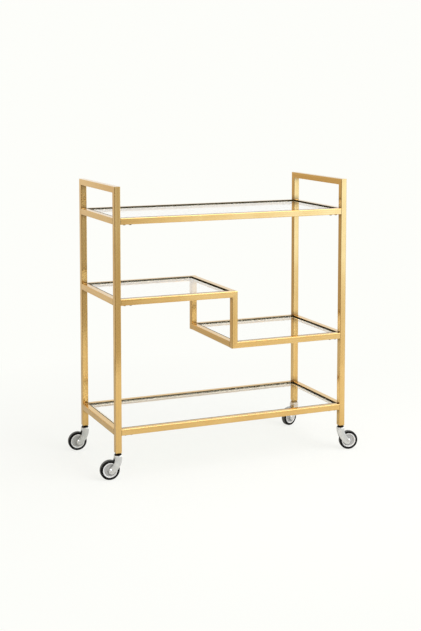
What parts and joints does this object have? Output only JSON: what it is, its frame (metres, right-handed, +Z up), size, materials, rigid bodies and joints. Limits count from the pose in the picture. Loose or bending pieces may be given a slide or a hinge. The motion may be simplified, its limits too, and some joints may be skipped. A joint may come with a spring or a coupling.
{
  "type": "dessert trolley",
  "caption": "Free-standing square-tube serving trolley with glass shelves at stepped heights, end handles and swivel casters.",
  "frame": {"origin": "on the floor under the middle of the frame", "axes": "+Z up, +X along the trolley from its high half shelf to its low one, -Y the front"},
  "size_m": [0.9166, 0.3819, 0.925],
  "materials": {
    "tubes": "satin gold plating on square steel tube",
    "ledges": "satin gold plating on flat steel bar",
    "tongues": "plain gold-washed steel, hidden in the rails",
    "screws": "dark domed socket screws",
    "gaskets": "matt near-black rubber",
    "glass": "clear toughened glass, polished edges",
    "plugs": "satin gold end plug",
    "stems": "dark zinc-plated steel",
    "bushes": "natural nylon",
    "forks": "bright zinc-plated pressed sheet",
    "axles": "polished rivet",
    "hubs": "satin grey moulded hub with a pale rim edge",
    "tyres": "black rubber tread"
  },
  "bodies": {
    "frame": {"left_front_post": "tubes", "left_back_post": "tubes", "left_handle_bar": "tubes", "left_top_end_rail": "tubes", "left_middle_end_rail": "tubes", "left_bottom_end_rail": "tubes", "right_front_post": "tubes", "right_back_post": "tubes", "right_handle_bar": "tubes", "right_top_end_rail": "tubes", "right_middle_end_rail": "tubes", "right_bottom_end_rail": "tubes", "top_front_rail": "tubes", "top_back_rail": "tubes", "bottom_front_rail": "tubes", "bottom_back_rail": "tubes", "upper_front_rail": "tubes", "upper_back_rail": "tubes", "upper_cross_rail": "tubes", "front_drop_post": "tubes", "back_drop_post": "tubes", "lower_cross_rail": "tubes", "lower_front_rail": "tubes", "lower_back_rail": "tubes", "left_rail_tongues": "tongues", "right_rail_tongues": "tongues", "rail_screws": "screws", "top_glass_ledges": "ledges", "upper_glass_ledges": "ledges", "lower_glass_ledges": "ledges", "bottom_glass_ledges": "ledges", "top_gasket": "gaskets", "upper_gasket": "gaskets", "lower_gasket": "gaskets", "bottom_gasket": "gaskets", "top_glass": "glass", "upper_glass": "glass", "lower_glass": "glass", "bottom_glass": "glass", "post_plugs": "plugs", "lock_nuts": "stems", "caster_stems": "stems", "swivel_bushes": "bushes"},
    "front_left_caster": {"front_left_fork": "forks", "front_left_axle": "axles"},
    "front_left_wheel": {"front_left_hub": "hubs", "front_left_tyre": "tyres"},
    "back_left_caster": {"back_left_fork": "forks", "back_left_axle": "axles"},
    "back_left_wheel": {"back_left_hub": "hubs", "back_left_tyre": "tyres"},
    "front_right_caster": {"front_right_fork": "forks", "front_right_axle": "axles"},
    "front_right_wheel": {"front_right_hub": "hubs", "front_right_tyre": "tyres"},
    "back_right_caster": {"back_right_fork": "forks", "back_right_axle": "axles"},
    "back_right_wheel": {"back_right_hub": "hubs", "back_right_tyre": "tyres"}
  },
  "joints": [
    {"name": "front_left_swivel", "type": "hinge", "parent": "frame", "child": "front_left_caster", "pos_m": [-0.4, -0.172, 0.0768], "axis": [0, 0, 1], "continuous": true},
    {"name": "front_left_roll", "type": "hinge", "parent": "front_left_caster", "child": "front_left_wheel", "pos_m": [-0.4269, -0.16965, 0.0315], "axis": [0.0872, 0.9962, 0], "continuous": true},
    {"name": "back_left_swivel", "type": "hinge", "parent": "frame", "child": "back_left_caster", "pos_m": [-0.4, 0.172, 0.0768], "axis": [0, 0, 1], "continuous": true},
    {"name": "back_left_roll", "type": "hinge", "parent": "back_left_caster", "child": "back_left_wheel", "pos_m": [-0.42693, 0.17388, 0.0315], "axis": [0.0698, 0.9976, 0], "continuous": true},
    {"name": "front_right_swivel", "type": "hinge", "parent": "frame", "child": "front_right_caster", "pos_m": [0.4, -0.172, 0.0768], "axis": [0, 0, 1], "continuous": true},
    {"name": "front_right_roll", "type": "hinge", "parent": "front_right_caster", "child": "front_right_wheel", "pos_m": [0.42608, -0.17899, 0.0315], "axis": [-0.2588, -0.9659, 0], "continuous": true},
    {"name": "back_right_swivel", "type": "hinge", "parent": "frame", "child": "back_right_caster", "pos_m": [0.4, 0.172, 0.0768], "axis": [0, 0, 1], "continuous": true},
    {"name": "back_right_roll", "type": "hinge", "parent": "back_right_caster", "child": "back_right_wheel", "pos_m": [0.37463, 0.16277, 0.0315], "axis": [-0.342, 0.9397, 0], "continuous": true}
  ]
}
